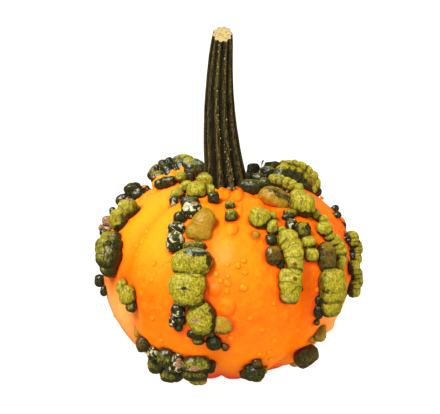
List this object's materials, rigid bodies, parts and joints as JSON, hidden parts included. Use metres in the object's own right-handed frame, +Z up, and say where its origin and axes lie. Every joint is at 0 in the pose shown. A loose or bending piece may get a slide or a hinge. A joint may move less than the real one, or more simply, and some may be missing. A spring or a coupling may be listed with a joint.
{
  "type": "warted pumpkin",
  "caption": "Round ribbed ornamental pumpkin with lumpy green warts in chains over its orange rind, a tall ridged stem with a cut top, and a small flat foot to stand on.",
  "frame": {"origin": "centre of the flat foot on the fruit's axis, at the level that it stands on", "axes": "+Z up along the stem, the pictured front faces -Y, +X to the right as seen from the front"},
  "size_m": [0.2392, 0.239, 0.3107],
  "materials": {
    "rind": "satin waxy rind, stands in for pumpkin flesh and skin",
    "stem": "matt dry ridged stalk"
  },
  "bodies": {
    "root": {"fruit": "rind", "stem": "stem"}
  },
  "joints": []
}
